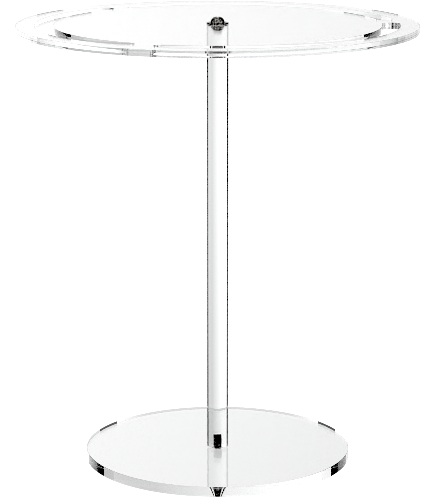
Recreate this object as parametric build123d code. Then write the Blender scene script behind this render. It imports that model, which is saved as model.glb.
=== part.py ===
"""Rotating display stand in clear acrylic, for hanging spectacles.

A round slotted disc, the carousel, turns on a flanged bush on top of a round post. A round head screw
with a wide washer holds the bush and keeps the carousel down. The post stands on a heavier round base,
held by a countersunk screw from below.

Millimetres, +Z up. The origin is the centre of the base's underside, where the stand meets the table.
"""

from build123d import *
from math import degrees
import os

# Discs and post
TOP_DIAMETER = 200.0
TOP_THICKNESS = 3.2
BASE_DIAMETER = 135.0
BASE_THICKNESS = 5.0
POST_DIAMETER = 11.0
TOP_FACE_Z = 223.3  # upper face of the carousel above the table
EDGE_BREAK = 0.2  # polished edge of the cut acrylic

# Hanging slots: three equal arcs just inside the carousel's rim
SLOT_COUNT = 3
SLOT_RADIUS = 86.0  # centre line
SLOT_WIDTH = 9.0
BRIDGE_WIDTH = 10.4  # acrylic left between two slots, along the centre line
FIRST_BRIDGE_ANGLE = 6.5  # from +X, towards +Y

# Pivot at the top of the post
PIVOT_GAP = 0.05  # running clearance round and above the bush
BUSH_DIAMETER = 5.4
FLANGE_DIAMETER = 9.0
FLANGE_STANDOFF = 0.3  # keeps the carousel off the post
COUNTERBORE_DIAMETER = 9.4
COUNTERBORE_DEPTH = 0.9
CAP_WASHER_DIAMETER = 11.0
CAP_WASHER_THICKNESS = 0.6
SCREW_CLEARANCE = 3.7  # bore of the washer and of the bush

# Pivot screw, 3.5 mm with a round head
PIVOT_THREAD = 3.5
PIVOT_SCREW_LENGTH = 8.0  # under the head
HEAD_DIAMETER = 7.0
HEAD_HEIGHT = 2.8
HEAD_ROUNDING = 2.7

# Base screw, M3 with a long slender countersunk head
BASE_THREAD = 3.0
BASE_SCREW_GRIP = 6.0  # thread inside the post
SUNK_DIAMETER = 6.0
SUNK_HEIGHT = 4.6
SUNK_INSET = 0.2  # head below flush, so that the base stands flat

# Cross recesses
CROSS_SLOT = 0.9
HEAD_CROSS = 4.2
SUNK_CROSS = 3.0
CROSS_DEPTH = 1.5
HOLE_RELIEF = 0.5  # empty length of a tapped hole past the end of its screw

CUT_MARGIN = 1.0  # how far the slots' cutter reaches past both faces
STANDING = (Align.CENTER, Align.CENTER, Align.MIN)  # origin in the middle of a shape's foot

# Heights worked out from the above
TOP_UNDERSIDE_Z = TOP_FACE_Z - TOP_THICKNESS
POST_TOP_Z = TOP_UNDERSIDE_Z - FLANGE_STANDOFF
COUNTERBORE_Z = TOP_UNDERSIDE_Z + COUNTERBORE_DEPTH
BUSH_TOP_Z = TOP_FACE_Z + PIVOT_GAP
HEAD_SEAT_Z = BUSH_TOP_Z + CAP_WASHER_THICKNESS
HEAD_TOP_Z = HEAD_SEAT_Z + HEAD_HEIGHT
PIVOT_TIP_Z = HEAD_SEAT_Z - PIVOT_SCREW_LENGTH
BASE_SCREW_TIP_Z = BASE_THICKNESS + BASE_SCREW_GRIP
SUNK_TOP_Z = SUNK_INSET + SUNK_HEIGHT


def rod(diameter, bottom_z, top_z):
    """An upright cylinder on the stand's axis."""
    return Pos(0, 0, bottom_z) * Cylinder(diameter / 2, top_z - bottom_z, align=STANDING)


def cone(bottom_diameter, top_diameter, bottom_z, top_z):
    """An upright truncated cone on the stand's axis."""
    solid = Cone(bottom_diameter / 2, top_diameter / 2, top_z - bottom_z, align=STANDING)
    return Pos(0, 0, bottom_z) * solid


def plate(diameter, bottom_z, top_z):
    """A round plate or rod with both of its outer edges broken."""
    solid = rod(diameter, bottom_z, top_z)
    return chamfer(solid.edges().filter_by(GeomType.CIRCLE), EDGE_BREAK)


def cross_recess(width, face_z, into):
    """The tapering cross that a driver enters. into is +1 where the recess goes up from face_z, or -1."""
    deep_z = face_z + into * CROSS_DEPTH
    centre = Pos(0, 0, (face_z + deep_z) / 2)
    arms = Box(width, CROSS_SLOT, CROSS_DEPTH) + Box(CROSS_SLOT, width, CROSS_DEPTH)
    if into > 0:
        taper = cone(width, CROSS_SLOT, face_z, deep_z)
    else:
        taper = cone(CROSS_SLOT, width, deep_z, face_z)
    return centre * arms & taper


def hanging_slots():
    """The three arc slots as one cutting sketch, extruded through the carousel."""
    pitch = 360 / SLOT_COUNT
    rounded_end = degrees(SLOT_WIDTH / 2 / SLOT_RADIUS)
    half_bridge = degrees(BRIDGE_WIDTH / 2 / SLOT_RADIUS)
    sweep = pitch - 2 * (half_bridge + rounded_end)
    slots = Sketch()
    for index in range(SLOT_COUNT):
        start = FIRST_BRIDGE_ANGLE + index * pitch + half_bridge + rounded_end
        slots += SlotArc(CenterArc((0, 0), SLOT_RADIUS, start, sweep), SLOT_WIDTH)
    return extrude(Pos(0, 0, TOP_UNDERSIDE_Z - CUT_MARGIN) * slots, TOP_THICKNESS + 2 * CUT_MARGIN)


def make_top_disc():
    """The carousel: slotted disc with a bore for the bush and a counterbore for its flange."""
    disc = plate(TOP_DIAMETER, TOP_UNDERSIDE_Z, TOP_FACE_Z)
    disc -= hanging_slots()
    disc -= rod(BUSH_DIAMETER + 2 * PIVOT_GAP, TOP_UNDERSIDE_Z, TOP_FACE_Z)
    disc -= rod(COUNTERBORE_DIAMETER, TOP_UNDERSIDE_Z, COUNTERBORE_Z)
    return disc


def make_base_disc():
    """The base, drilled and countersunk from below for its screw."""
    disc = plate(BASE_DIAMETER, 0, BASE_THICKNESS)
    disc -= rod(BASE_THREAD, 0, BASE_THICKNESS)
    disc -= rod(SUNK_DIAMETER, 0, SUNK_INSET)
    disc -= cone(SUNK_DIAMETER, BASE_THREAD, SUNK_INSET, SUNK_TOP_Z)
    return disc


def make_post():
    """The solid round post, tapped at both ends."""
    post = plate(POST_DIAMETER, BASE_THICKNESS, POST_TOP_Z)
    post -= rod(BASE_THREAD, BASE_THICKNESS, BASE_SCREW_TIP_Z + HOLE_RELIEF)
    post -= rod(PIVOT_THREAD, PIVOT_TIP_Z - HOLE_RELIEF, POST_TOP_Z)
    return post


def make_pivot_bush():
    """The bush that the carousel turns on: a flange on the post, and a shank through the carousel."""
    bush = rod(BUSH_DIAMETER, POST_TOP_Z, BUSH_TOP_Z)
    bush += rod(FLANGE_DIAMETER, POST_TOP_Z, COUNTERBORE_Z - PIVOT_GAP)
    return bush - rod(SCREW_CLEARANCE, POST_TOP_Z, BUSH_TOP_Z)


def make_cap_washer():
    """The thin wide washer that keeps the carousel down."""
    washer = rod(CAP_WASHER_DIAMETER, BUSH_TOP_Z, HEAD_SEAT_Z)
    return washer - rod(SCREW_CLEARANCE, BUSH_TOP_Z, HEAD_SEAT_Z)


def round_head():
    """The domed head of the pivot screw."""
    head = rod(HEAD_DIAMETER, HEAD_SEAT_Z, HEAD_TOP_Z)
    upper_edge = head.edges().filter_by(GeomType.CIRCLE).sort_by(Axis.Z)[-1]
    return fillet(upper_edge, HEAD_ROUNDING)


def make_pivot_screw():
    """The round head screw that holds the washer and the bush on the post."""
    screw = round_head() + rod(PIVOT_THREAD, PIVOT_TIP_Z, HEAD_SEAT_Z)
    return screw - cross_recess(HEAD_CROSS, HEAD_TOP_Z, -1)


def make_base_screw():
    """The countersunk screw that joins base and post."""
    screw = cone(SUNK_DIAMETER, BASE_THREAD, SUNK_INSET, SUNK_TOP_Z)
    screw += rod(BASE_THREAD, SUNK_TOP_Z, BASE_SCREW_TIP_Z)
    return screw - cross_recess(SUNK_CROSS, SUNK_INSET, 1)


NODES = {
    "base_disc": make_base_disc,
    "base_screw": make_base_screw,
    "post": make_post,
    "pivot_bush": make_pivot_bush,
    "top_disc": make_top_disc,
    "cap_washer": make_cap_washer,
    "pivot_screw": make_pivot_screw,
}

os.makedirs("parts", exist_ok=True)
for name, make in NODES.items():
    export_step(make(), f"parts/{name}.step")
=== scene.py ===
"""Visual model of the rotating display stand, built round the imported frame. Metres, +Z up."""

import math

import bmesh
import bpy
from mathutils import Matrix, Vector
from mathutils.geometry import tessellate_polygon


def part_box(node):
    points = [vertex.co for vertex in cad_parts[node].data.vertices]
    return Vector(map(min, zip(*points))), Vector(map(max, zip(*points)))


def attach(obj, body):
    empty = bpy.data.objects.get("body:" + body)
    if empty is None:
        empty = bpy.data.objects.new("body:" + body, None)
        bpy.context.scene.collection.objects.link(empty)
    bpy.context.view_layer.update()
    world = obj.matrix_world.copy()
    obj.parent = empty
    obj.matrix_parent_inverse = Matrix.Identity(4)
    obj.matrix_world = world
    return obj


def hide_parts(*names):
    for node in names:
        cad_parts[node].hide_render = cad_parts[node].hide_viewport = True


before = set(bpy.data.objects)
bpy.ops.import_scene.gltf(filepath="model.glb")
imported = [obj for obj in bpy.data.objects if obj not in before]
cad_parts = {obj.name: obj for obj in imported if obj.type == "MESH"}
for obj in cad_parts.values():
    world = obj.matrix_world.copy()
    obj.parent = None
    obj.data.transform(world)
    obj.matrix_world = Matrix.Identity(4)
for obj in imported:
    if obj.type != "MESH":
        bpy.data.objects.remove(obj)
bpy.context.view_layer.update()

MM = 0.001

# Mesh density and edge finish
DISC_SEGMENTS = 720
ROD_SEGMENTS = 256
SCREW_SEGMENTS = 128
ARC_STEPS = 5  # fewest steps round a softened edge
RADIUS_PER_STEP = 0.12 * MM  # a larger radius has one step for each such length in it
ACRYLIC_EDGE = 0.08 * MM
METAL_EDGE = 0.1 * MM
SHARP_ANGLE = math.radians(32)
LEVEL = 1e-4  # a face whose normal is this near to upright or level counts as a flat or a wall
MERGE_DISTANCE = 1e-4 * MM  # vertices nearer than this become one

# Hanging slots
SLOT_COUNT = 3
SLOT_RADIUS = 86 * MM
SLOT_WIDTH = 9 * MM
BRIDGE_WIDTH = 10.4 * MM
FIRST_BRIDGE_ANGLE = math.radians(6.5)
SLOT_STEPS = 200
SLOT_END_STEPS = 28

# Pivot
PIVOT_GAP = 0.05 * MM
BUSH_DIAMETER = 5.4 * MM
COUNTERBORE = 9.4 * MM
COUNTERBORE_DEPTH = 0.9 * MM
SCREW_CLEARANCE = 3.7 * MM
AIR_FILM = 0.02 * MM  # what is left between two flat faces that only touch
HOLE_RELIEF = 0.5 * MM  # empty length of a tapped hole past the end of its screw

# Screws: thread diameter, pitch and depth of thread
PIVOT_THREAD = (3.5 * MM, 1.2 * MM, 0.5 * MM)
BASE_THREAD = (3.0 * MM, 0.5 * MM, 0.3 * MM)
THREAD_STEPS = 10  # rows to a turn of thread
CREST_SHARPNESS = 1.25  # above 1 the crest of the thread is flat
FADED_THREAD = 0.25  # depth of the thread where it starts, as a part of its full depth
HEAD_HEIGHT = 2.8 * MM
HEAD_ROUNDING = 2.7 * MM
SUNK_HEIGHT = 4.6 * MM
FIT_GAP = 0.03 * MM  # between a screw and its hole
CROSS_SLOT = 0.9 * MM
CROSS_DEPTH = 1.5 * MM
CROSS_MARGIN = 0.3 * MM  # how far the cutter of a cross starts outside its screw
CROSS_AT_MARGIN = (1.12, 1.1)  # reach and width of its arms there, as parts of their size at the face
CROSS_AT_BOTTOM = (0.42, 0.7)  # the same at the bottom of the recess
HEAD_CROSS = 4.2 * MM
SUNK_CROSS = 3.0 * MM
TURNING_PITCH = 0.15 * MM  # of the rings left on a turned piece

# Materials
ACRYLIC_TINT = (0.87, 0.875, 0.875, 1)
ACRYLIC_IOR = 1.49
BLACK_NICKEL = (0.13, 0.129, 0.128)
THIN_NICKEL = (0.44, 0.42, 0.405)
DULL_STEEL = (0.22, 0.21, 0.20)
BRIGHT_STEEL = (0.42, 0.41, 0.40)

# Camera, fitted to the proportions of the stand as seen in the photograph
CAMERA_DISTANCE = 1.1115
CAMERA_HEIGHT = 0.3622
CAMERA_PITCH = math.radians(12.87)
LENS = 161.9
SIDE_SHIFT = -0.0021

# Rendering
FILTER_WIDTH = 0.7  # of a pixel: the photograph is crisp
ACRYLIC_BOUNCES = 40
DIFFUSE_BOUNCES = 20

# Soft studio light, as brightness by direction with white as 1. Light from above the horizon comes from a
# wall, and light from below it comes off a table. Angles are in degrees, and azimuth runs clockwise from
# straight behind the stand.
WHITE = 1.05  # what the camera sees behind the stand, a little over white so that it prints blown out
BLACK = 0.12  # what prints as black, for the hard contrast of a catalogue picture
LIGHT_BY_ELEVATION = ((-90, 1.15), (-40, 1.15), (-18, 1.24), (-13, 1.38), (-10, 1.45), (-1, 1.45), (0, 1.15),
                      (15, 1.21))
WALL_BY_AZIMUTH = ((-20, 1.0), (0, 0.82), (20, 0.63), (67, 0.63), (68, 1.0))
TABLE_BY_AZIMUTH = ((-110, 0.56), (-80, 1.0), *WALL_BY_AZIMUTH, (80, 1.0), (110, 0.56))

# Tall black cards in that light, one on either side, as (azimuth, half width)
BLACK_CARDS = ((-63, 14), (63, 14))

# Soft light overhead, and the floor
SOFTBOX_SIZE = 0.8
SOFTBOX_WATTS = 3
SOFTBOX_PLACE = (-0.2, -0.3, 1.3)
SOFTBOX_TILT = (math.radians(-15), math.radians(-10), 0)
FLOOR_RADIUS = 6
FLOOR_SEGMENTS = 64


# ---------------------------------------------------------------- sizes read from the frame

def radius_of(node):
    """Radius of a round CAD node."""
    low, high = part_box(node)
    return (high[0] - low[0]) / 2


def heights_of(node):
    """Lowest and highest point of a CAD node."""
    low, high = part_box(node)
    return low[2], high[2]


# ---------------------------------------------------------------- mesh building

def rounded(corners, radii):
    """A profile of (radius, height) points whose corners are rounded by the given radii."""
    count = len(corners)
    points = []
    for index, (corner, radius) in enumerate(zip(corners, radii)):
        here = Vector(corner)
        if radius == 0:
            points.append(tuple(here))
            continue
        before = (Vector(corners[index - 1]) - here).normalized()
        after = (Vector(corners[(index + 1) % count]) - here).normalized()
        half = before.angle(after) / 2
        centre = here + (before + after).normalized() * (radius / math.sin(half))
        start = (here + before * (radius / math.tan(half)) - centre).normalized()
        end = (here + after * (radius / math.tan(half)) - centre).normalized()
        steps = max(ARC_STEPS, round(radius / RADIUS_PER_STEP))
        for step in range(steps + 1):
            points.append(tuple(centre + start.slerp(end, step / steps) * radius))
    return points


def kind_of(face):
    """Flat for a level face, wall for an upright one, and rounded for what lies between."""
    rise = abs(face.normal.z)
    if rise > 1 - LEVEL:
        return "flat"
    return "wall" if rise < LEVEL else "rounded"


def mark_sharp(mesh):
    """Smooth shading that keeps corners sharp, flats flat and walls straight, so that each refracts well."""
    mesh.normal_update()
    for face in mesh.faces:
        face.smooth = kind_of(face) != "flat"
    for edge in mesh.edges:
        one_kind = len({kind_of(face) for face in edge.link_faces}) == 1
        edge.smooth = one_kind and edge.calc_face_angle(0) < SHARP_ANGLE


def finish_object(name, mesh):
    """Turns a bmesh into an object in the scene."""
    bmesh.ops.recalc_face_normals(mesh, faces=mesh.faces)
    mark_sharp(mesh)
    data = bpy.data.meshes.new(name)
    mesh.to_mesh(data)
    mesh.free()
    piece = bpy.data.objects.new(name, data)
    bpy.context.collection.objects.link(piece)
    return piece


def add_ring(mesh, segments, height, radius):
    """A ring of vertices. radius is a number or a function of the angle; 0 gives a single pole."""
    if radius == 0:
        return [mesh.verts.new((0, 0, height))]
    ring = []
    for index in range(segments):
        angle = 2 * math.pi * index / segments
        r = radius(angle) if callable(radius) else radius
        ring.append(mesh.verts.new((r * math.cos(angle), r * math.sin(angle), height)))
    return ring


def join_rings(mesh, upper, lower):
    """Faces between two rings, either of which may be a pole."""
    count = max(len(upper), len(lower))
    for index in range(count):
        after = (index + 1) % count
        corners = []
        for vertex in (upper[index % len(upper)], upper[after % len(upper)],
                       lower[after % len(lower)], lower[index % len(lower)]):
            if vertex not in corners:
                corners.append(vertex)
        mesh.faces.new(corners)


def turned(name, rows, segments, closed=False):
    """A turned piece from rows of (radius, height). A closed profile makes a ring such as a washer."""
    mesh = bmesh.new()
    rings = [add_ring(mesh, segments, height, radius) for radius, height in rows]
    for upper, lower in zip(rings, rings[1:]):
        join_rings(mesh, upper, lower)
    if closed:
        join_rings(mesh, rings[-1], rings[0])
    return finish_object(name, mesh)


# ---------------------------------------------------------------- acrylic pieces

def make_base():
    """Base disc with polished rims and a countersunk bore for its screw."""
    radius = radius_of("base_disc")
    low, high = heights_of("base_disc")
    bore = BASE_THREAD[0] / 2
    sunk = radius_of("base_screw")
    screw_low = heights_of("base_screw")[0]
    cone_top = screw_low + SUNK_HEIGHT
    corners = [(radius, low), (radius, high), (bore, high), (bore, cone_top), (sunk, screw_low), (sunk, low)]
    radii = [ACRYLIC_EDGE, ACRYLIC_EDGE, 0, 0, 0, 0]
    return turned("acrylic_base", rounded(corners, radii), DISC_SEGMENTS, closed=True)


def make_post():
    """Solid round post, tapped at both ends."""
    radius = radius_of("post")
    low, high = heights_of("post")
    low += AIR_FILM
    base_core = BASE_THREAD[0] / 2 - BASE_THREAD[2]
    base_end = heights_of("base_screw")[1] + HOLE_RELIEF
    pivot_core = PIVOT_THREAD[0] / 2 - PIVOT_THREAD[2]
    pivot_end = heights_of("pivot_screw")[0] - HOLE_RELIEF
    rows = [(0, base_end), (base_core, base_end), (base_core, low)]
    rim = rounded([(0, low), (radius, low), (radius, high), (0, high)], [0, ACRYLIC_EDGE, ACRYLIC_EDGE, 0])
    rows += rim[1:-1]
    rows += [(pivot_core, high), (pivot_core, pivot_end), (0, pivot_end)]
    return turned("acrylic_post", rows, ROD_SEGMENTS)


def circle_loop(radius):
    """A round outline, as a function of how far it is moved outwards."""
    def at(offset):
        r = radius + offset
        step = 2 * math.pi / DISC_SEGMENTS
        return [(r * math.cos(index * step), r * math.sin(index * step)) for index in range(DISC_SEGMENTS)]
    return at


def slot_loop(start, end):
    """The outline of an arc slot between the angles of its two round ends, as the same kind of function."""
    def at(offset):
        half = SLOT_WIDTH / 2 + offset
        points = []
        for index in range(SLOT_STEPS + 1):
            angle = start + (end - start) * index / SLOT_STEPS
            radius = SLOT_RADIUS + half
            points.append((radius * math.cos(angle), radius * math.sin(angle)))
        points += round_end(end, half, 1)
        for index in range(SLOT_STEPS + 1):
            angle = end + (start - end) * index / SLOT_STEPS
            radius = SLOT_RADIUS - half
            points.append((radius * math.cos(angle), radius * math.sin(angle)))
        points += round_end(start, half, -1)
        return points
    return at


def round_end(angle, half, side):
    """Points of a slot's round end, without its two tangent points."""
    centre_x, centre_y = SLOT_RADIUS * math.cos(angle), SLOT_RADIUS * math.sin(angle)
    first = angle if side > 0 else angle + math.pi
    points = []
    for index in range(1, SLOT_END_STEPS):
        turn = first + math.pi * index / SLOT_END_STEPS
        points.append((centre_x + half * math.cos(turn), centre_y + half * math.sin(turn)))
    return points


def edge_profile(low, high):
    """Rows of (offset into the material, height) down a wall with two rounded edges."""
    rows = []
    for step in range(ARC_STEPS + 1):
        turn = math.pi / 2 * step / ARC_STEPS
        rows.append((ACRYLIC_EDGE * (1 - math.sin(turn)), high - ACRYLIC_EDGE * (1 - math.cos(turn))))
    rows += [(offset, low + high - height) for offset, height in reversed(rows)]
    return rows


def plate(name, walls):
    """A flat plate from its walls. Each wall is (outline function, sign, profile rows), where the sign is
    that of a move into the material: -1 for the outer rim, which comes first, and +1 for a hole. The top
    and bottom faces are filled between all of them."""
    mesh = bmesh.new()
    top_loops, bottom_loops = [], []
    for outline, sign, profile in walls:
        rings = []
        for offset, height in profile:
            rings.append([mesh.verts.new((x, y, height)) for x, y in outline(sign * offset)])
        for upper, lower in zip(rings, rings[1:]):
            join_rings(mesh, upper, lower)
        top_loops.append(rings[0])
        bottom_loops.append(rings[-1])
    for loops in (top_loops, bottom_loops):
        flat = [vertex for loop in loops for vertex in loop]
        for triangle in tessellate_polygon([[vertex.co for vertex in loop] for loop in loops]):
            mesh.faces.new([flat[index] for index in triangle])
    return finish_object(name, mesh)


def make_carousel():
    """The slotted top disc with its pivot bore and counterbore."""
    low, high = heights_of("top_disc")
    edge = edge_profile(low, high)
    shoulder = low + COUNTERBORE_DEPTH
    bore = BUSH_DIAMETER / 2 + PIVOT_GAP
    widening = COUNTERBORE / 2 - bore
    bore_rows = [(0, high), (0, shoulder), (widening, shoulder), (widening, low)]
    walls = [(circle_loop(radius_of("top_disc")), -1, edge)]
    pitch = 2 * math.pi / SLOT_COUNT
    margin = (BRIDGE_WIDTH + SLOT_WIDTH) / 2 / SLOT_RADIUS
    for index in range(SLOT_COUNT):
        bridge = FIRST_BRIDGE_ANGLE + index * pitch
        walls.append((slot_loop(bridge + margin, bridge + pitch - margin), 1, edge))
    walls.append((circle_loop(bore), 1, bore_rows))
    return plate("acrylic_carousel", walls)


# ---------------------------------------------------------------- metal pieces

def thread_rows(thread, high, low):
    """Rows of a helical thread that comes up over the first turn above its low end."""
    diameter, pitch, depth = thread
    count = max(2, round((high - low) / pitch * THREAD_STEPS))
    core = diameter / 2 - depth
    rows = []
    for index in range(count + 1):
        height = high + (low - high) * index / count
        fade = min(1, (height - low) / pitch)

        def radius(angle, height=height, fade=fade):
            turn = (height / pitch + angle / (2 * math.pi)) % 1
            crest = 1 - abs(2 * turn - 1)
            full = min(1, CREST_SHARPNESS * crest) * depth
            return core + full * (FADED_THREAD + (1 - FADED_THREAD) * fade) - FIT_GAP
        rows.append((radius, height))
    return rows


def cross_cutter(width, face, direction):
    """The tapering cross that a driver enters, as a cutter. direction is +1 where it cuts upwards."""
    mesh = bmesh.new()
    loops = []
    for parts, depth in ((CROSS_AT_MARGIN, -CROSS_MARGIN), (CROSS_AT_BOTTOM, CROSS_DEPTH)):
        reach = parts[0] * width / 2
        half = parts[1] * CROSS_SLOT / 2
        outline = []
        for x, y in ((1, 1), (-1, 1), (-1, -1), (1, -1)):
            arms = [(x * reach, y * half), (x * half, y * half), (x * half, y * reach)]
            outline += arms if x == y else reversed(arms)
        loops.append([mesh.verts.new((x, y, face + direction * depth)) for x, y in outline])
    join_rings(mesh, loops[0], loops[1])
    mesh.faces.new(loops[0])
    mesh.faces.new(loops[1])
    return finish_object("cutter", mesh)


def cut(piece, cutter):
    """Subtracts the cutter from the piece for good, and removes the cutter."""
    modifier = piece.modifiers.new("cut", "BOOLEAN")
    modifier.operation = "DIFFERENCE"
    modifier.solver = "EXACT"
    modifier.object = cutter
    bpy.context.view_layer.update()
    graph = bpy.context.evaluated_depsgraph_get()
    data = bpy.data.meshes.new_from_object(piece.evaluated_get(graph))
    piece.modifiers.clear()
    bpy.data.objects.remove(cutter)
    mesh = bmesh.new()
    mesh.from_mesh(data)
    bmesh.ops.remove_doubles(mesh, verts=mesh.verts, dist=MERGE_DISTANCE)
    mark_sharp(mesh)
    mesh.to_mesh(piece.data)
    mesh.free()


def make_pivot_screw():
    """Round head screw with a cross recess and a real thread."""
    radius = radius_of("pivot_screw")
    low, high = heights_of("pivot_screw")
    seat = high - HEAD_HEIGHT
    corners = [(0, high), (radius, high), (radius, seat), (0, seat)]
    head = rounded(corners, [0, HEAD_ROUNDING, METAL_EDGE / 2, 0])
    rows = head[:-1] + thread_rows(PIVOT_THREAD, seat, low) + [(0, low)]
    screw = turned("pivot_screw_detail", rows, SCREW_SEGMENTS)
    cut(screw, cross_cutter(HEAD_CROSS, high, -1))
    return screw


def make_base_screw():
    """Countersunk screw with a cross recess underneath and a real thread."""
    radius = radius_of("base_screw")
    low, high = heights_of("base_screw")
    neck = low + SUNK_HEIGHT
    rows = [(0, low), (radius - FIT_GAP, low), (BASE_THREAD[0] / 2 - FIT_GAP, neck)]
    rows += list(reversed(thread_rows(BASE_THREAD, high, neck))) + [(0, high)]
    screw = turned("base_screw_detail", rows, SCREW_SEGMENTS)
    cut(screw, cross_cutter(SUNK_CROSS, low, 1))
    return screw


def make_cap_washer():
    """Thin wide washer with softened edges."""
    radius = radius_of("cap_washer")
    low, high = heights_of("cap_washer")
    bore = SCREW_CLEARANCE / 2
    corners = [(radius, low), (radius, high), (bore, high), (bore, low)]
    rows = rounded(corners, [METAL_EDGE, 2 * METAL_EDGE, METAL_EDGE, METAL_EDGE])
    return turned("cap_washer_detail", rows, ROD_SEGMENTS, closed=True)


def make_pivot_bush():
    """The flanged bush that the carousel turns on."""
    flange = radius_of("pivot_bush")
    low, high = heights_of("pivot_bush")
    low += AIR_FILM
    flange_high = heights_of("top_disc")[0] + COUNTERBORE_DEPTH - PIVOT_GAP
    outer = BUSH_DIAMETER / 2
    bore = SCREW_CLEARANCE / 2
    corners = [(flange, low), (flange, flange_high), (outer, flange_high)]
    corners += [(outer, high), (bore, high), (bore, low)]
    radii = [METAL_EDGE, METAL_EDGE, 0, METAL_EDGE, METAL_EDGE, METAL_EDGE]
    return turned("pivot_bush_detail", rounded(corners, radii), ROD_SEGMENTS, closed=True)


# ---------------------------------------------------------------- materials

class Shader:
    """The nodes of a material or of the world, under construction."""

    def __init__(self, owner, kind="ShaderNodeBsdfPrincipled", output="ShaderNodeOutputMaterial"):
        owner.use_nodes = True
        self.nodes = owner.node_tree.nodes
        self.links = owner.node_tree.links
        self.nodes.clear()
        self.main = self.nodes.new(kind)
        self.links.new(self.main.outputs[0], self.nodes.new(output).inputs["Surface"])

    def feed(self, value, socket):
        """Gives a socket either a number or another node's output."""
        if isinstance(value, (int, float)):
            socket.default_value = value
        else:
            self.links.new(value, socket)

    def coordinates(self, kind="Object"):
        """Coordinates of the given kind: the object's own unless it says otherwise."""
        return self.nodes.new("ShaderNodeTexCoord").outputs[kind]

    def split(self, source):
        """The x, y and z outputs of a vector."""
        split = self.nodes.new("ShaderNodeSeparateXYZ")
        self.links.new(source, split.inputs[0])
        return split.outputs

    def noise(self, scale, detail=3.0):
        """A noise texture over the object's own coordinates."""
        texture = self.nodes.new("ShaderNodeTexNoise")
        texture.inputs["Scale"].default_value = scale
        texture.inputs["Detail"].default_value = detail
        self.links.new(self.coordinates(), texture.inputs["Vector"])
        return texture.outputs["Fac"]

    def spread(self, source, low, high, start=0.35, end=0.65):
        """Runs from low to high as source goes from start to end, and stays level beyond them."""
        spread = self.nodes.new("ShaderNodeMapRange")
        spread.inputs["From Min"].default_value = start
        spread.inputs["From Max"].default_value = end
        spread.inputs["To Min"].default_value = low
        spread.inputs["To Max"].default_value = high
        self.links.new(source, spread.inputs["Value"])
        return spread.outputs["Result"]

    def math(self, operation, first, second=0.0):
        """One step of arithmetic on numbers or outputs."""
        step = self.nodes.new("ShaderNodeMath")
        step.operation = operation
        self.feed(first, step.inputs[0])
        self.feed(second, step.inputs[1])
        return step.outputs[0]

    def near(self, source, centre, reach):
        """1 where source is within reach of centre, and 0 elsewhere."""
        distance = self.math("ABSOLUTE", self.math("SUBTRACT", source, centre))
        return self.math("LESS_THAN", distance, reach)

    def between(self, factor, first, second):
        """first where factor is 0 and second where it is 1."""
        kept = self.math("MULTIPLY", self.math("SUBTRACT", 1, factor), first)
        return self.math("ADD", kept, self.math("MULTIPLY", factor, second))

    def graph(self, source, low, high, stops):
        """Reads a value off straight lines between stops, which are (position, value) from low to high."""
        ramp = self.nodes.new("ShaderNodeValToRGB")
        self.links.new(self.spread(source, 0, 1, low, high), ramp.inputs[0])
        elements = ramp.color_ramp.elements
        while len(elements) < len(stops):
            elements.new(1)
        peak = max(value for _, value in stops)
        for element, (position, value) in zip(elements, stops):
            element.position = (position - low) / (high - low)
            element.color = (value / peak, value / peak, value / peak, 1)
        return self.math("MULTIPLY", ramp.outputs["Color"], peak)

    def tone(self, source, dark, light):
        """Colours the piece from dark to light by source."""
        mix = self.nodes.new("ShaderNodeMixRGB")
        mix.inputs["Color1"].default_value = (*dark, 1)
        mix.inputs["Color2"].default_value = (*light, 1)
        self.links.new(source, mix.inputs["Fac"])
        self.links.new(mix.outputs["Color"], self.main.inputs["Base Color"])

    def bump(self, source, height, strength):
        """Raises the surface by height where source is 1."""
        bump = self.nodes.new("ShaderNodeBump")
        bump.inputs["Distance"].default_value = height
        bump.inputs["Strength"].default_value = strength
        self.links.new(source, bump.inputs["Height"])
        self.links.new(bump.outputs["Normal"], self.main.inputs["Normal"])


def make_acrylic():
    """Polished clear acrylic, with faint haze where it has been wiped."""
    material = bpy.data.materials.new("clear_acrylic")
    shader = Shader(material)
    sockets = shader.main.inputs
    sockets["Base Color"].default_value = ACRYLIC_TINT
    sockets["Transmission Weight"].default_value = 1
    sockets["IOR"].default_value = ACRYLIC_IOR
    haze = shader.noise(scale=60)
    shader.feed(shader.spread(haze, low=0.0, high=0.02), sockets["Roughness"])
    return material


def make_plated_steel():
    """Black nickel plating: brownish where it is thin, with fine tumbling marks."""
    material = bpy.data.materials.new("dark_steel")
    shader = Shader(material)
    sockets = shader.main.inputs
    sockets["Metallic"].default_value = 1
    thin_spots = shader.spread(shader.noise(scale=1300), low=0, high=1, start=0.5, end=0.66)
    shader.tone(thin_spots, dark=BLACK_NICKEL, light=THIN_NICKEL)
    shader.feed(shader.spread(shader.noise(scale=2600), low=0.14, high=0.34), sockets["Roughness"])
    shader.bump(shader.noise(scale=2200), height=0.03 * MM, strength=0.5)
    return material


def make_plain_steel():
    """Plain turned steel, with the fine rings that the tool leaves."""
    material = bpy.data.materials.new("plain_steel")
    shader = Shader(material)
    sockets = shader.main.inputs
    sockets["Metallic"].default_value = 1
    shader.tone(shader.spread(shader.noise(scale=900), low=0, high=1), dark=DULL_STEEL, light=BRIGHT_STEEL)
    height = shader.split(shader.coordinates())[2]
    rings = shader.math("SINE", shader.math("MULTIPLY", height, 2 * math.pi / TURNING_PITCH))
    shader.feed(shader.spread(rings, low=0.2, high=0.35, start=-1, end=1), sockets["Roughness"])
    shader.bump(rings, height=0.005 * MM, strength=0.4)
    return material


# ---------------------------------------------------------------- studio

def make_camera():
    """The camera in front of the stand, looking a little down."""
    data = bpy.data.cameras.new("camera")
    data.lens = LENS
    data.shift_x = SIDE_SHIFT
    camera = bpy.data.objects.new("camera", data)
    camera.location = (0, -CAMERA_DISTANCE, CAMERA_HEIGHT)
    camera.rotation_euler = (math.pi / 2 - CAMERA_PITCH, 0, 0)
    bpy.context.collection.objects.link(camera)
    bpy.context.scene.camera = camera


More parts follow.
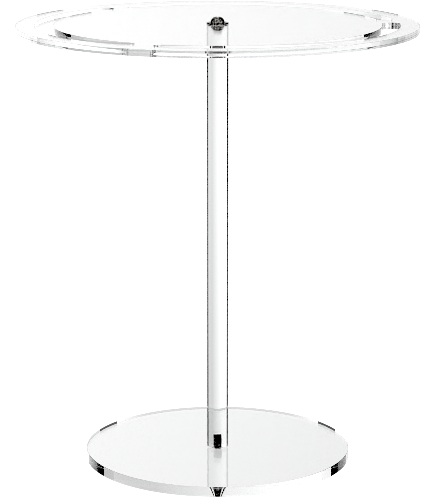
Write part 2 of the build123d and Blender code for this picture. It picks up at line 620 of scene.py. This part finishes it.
def make_floor():
    """The plain white floor behind the picture, seen by the camera alone."""
    mesh = bmesh.new()
    bmesh.ops.create_circle(mesh, cap_ends=True, radius=FLOOR_RADIUS, segments=FLOOR_SEGMENTS)
    data = bpy.data.meshes.new("floor")
    mesh.to_mesh(data)
    mesh.free()
    material = bpy.data.materials.new("floor_white")
    Shader(material, "ShaderNodeEmission").main.inputs["Strength"].default_value = WHITE
    data.materials.append(material)
    floor = bpy.data.objects.new("floor", data)
    bpy.context.collection.objects.link(floor)
    for kind in ("diffuse", "glossy", "transmission", "shadow", "volume_scatter"):
        setattr(floor, "visible_" + kind, False)


def tent_light(shader):
    """Brightness of the light tent in each direction: a bright table below the horizon and a grey wall
    above it, with black cards that draw the dark edges of clear acrylic."""
    x, y, z = shader.split(shader.coordinates("Generated"))
    elevation = shader.math("DEGREES", shader.math("ARCSINE", z))
    azimuth = shader.math("DEGREES", shader.math("ARCTAN2", x, y))
    wall = shader.graph(azimuth, -180, 180, WALL_BY_AZIMUTH)
    table = shader.graph(azimuth, -180, 180, TABLE_BY_AZIMUTH)
    light = shader.between(shader.math("GREATER_THAN", z), table, wall)
    light = shader.math("MULTIPLY", light, shader.graph(elevation, -90, 90, LIGHT_BY_ELEVATION))
    for card_azimuth, half_width in BLACK_CARDS:
        light = shader.between(shader.near(azimuth, card_azimuth, half_width), light, 0)
    return light


def make_light_tent():
    """Lights the stand from a tent all round it, which the camera sees as plain white."""
    world = bpy.data.worlds.new("light_tent")
    shader = Shader(world, "ShaderNodeBackground", "ShaderNodeOutputWorld")
    shader.main.inputs["Color"].default_value = (1, 1, 1, 1)
    is_camera = shader.nodes.new("ShaderNodeLightPath").outputs["Is Camera Ray"]
    shader.feed(shader.between(is_camera, tent_light(shader), WHITE), shader.main.inputs["Strength"])
    bpy.context.scene.world = world


def make_softbox():
    """A soft light overhead, for the metal."""
    data = bpy.data.lights.new("softbox", "AREA")
    data.shape = "DISK"
    data.size = SOFTBOX_SIZE
    data.energy = SOFTBOX_WATTS
    softbox = bpy.data.objects.new("softbox", data)
    softbox.location = SOFTBOX_PLACE
    softbox.rotation_euler = SOFTBOX_TILT
    bpy.context.collection.objects.link(softbox)


def set_rendering():
    """Plain colours with hard contrast, and enough bounces for the light inside acrylic."""
    scene = bpy.context.scene
    scene.view_settings.view_transform = "Standard"
    scene.view_settings.look = "None"
    scene.view_settings.use_curve_mapping = True
    scene.view_settings.curve_mapping.black_level = (BLACK, BLACK, BLACK)
    scene.view_settings.curve_mapping.update()
    scene.cycles.filter_width = FILTER_WIDTH
    scene.cycles.max_bounces = ACRYLIC_BOUNCES
    scene.cycles.transmission_bounces = ACRYLIC_BOUNCES
    scene.cycles.glossy_bounces = ACRYLIC_BOUNCES
    scene.cycles.diffuse_bounces = DIFFUSE_BOUNCES


# ---------------------------------------------------------------- assembly

def place(piece, node, body, material):
    """Dresses a piece, lets it stand for its CAD node, and fixes it to its body."""
    piece.data.materials.clear()
    piece.data.materials.append(material)
    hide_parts(node)
    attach(piece, body)


make_camera()
make_floor()
make_light_tent()
make_softbox()
set_rendering()

acrylic = make_acrylic()
plated_steel = make_plated_steel()
plain_steel = make_plain_steel()

place(make_base(), "base_disc", "stand", acrylic)
place(make_post(), "post", "stand", acrylic)
place(make_carousel(), "top_disc", "carousel", acrylic)
place(make_base_screw(), "base_screw", "stand", plated_steel)
place(make_pivot_screw(), "pivot_screw", "stand", plated_steel)
place(make_cap_washer(), "cap_washer", "stand", plated_steel)
place(make_pivot_bush(), "pivot_bush", "stand", plain_steel)
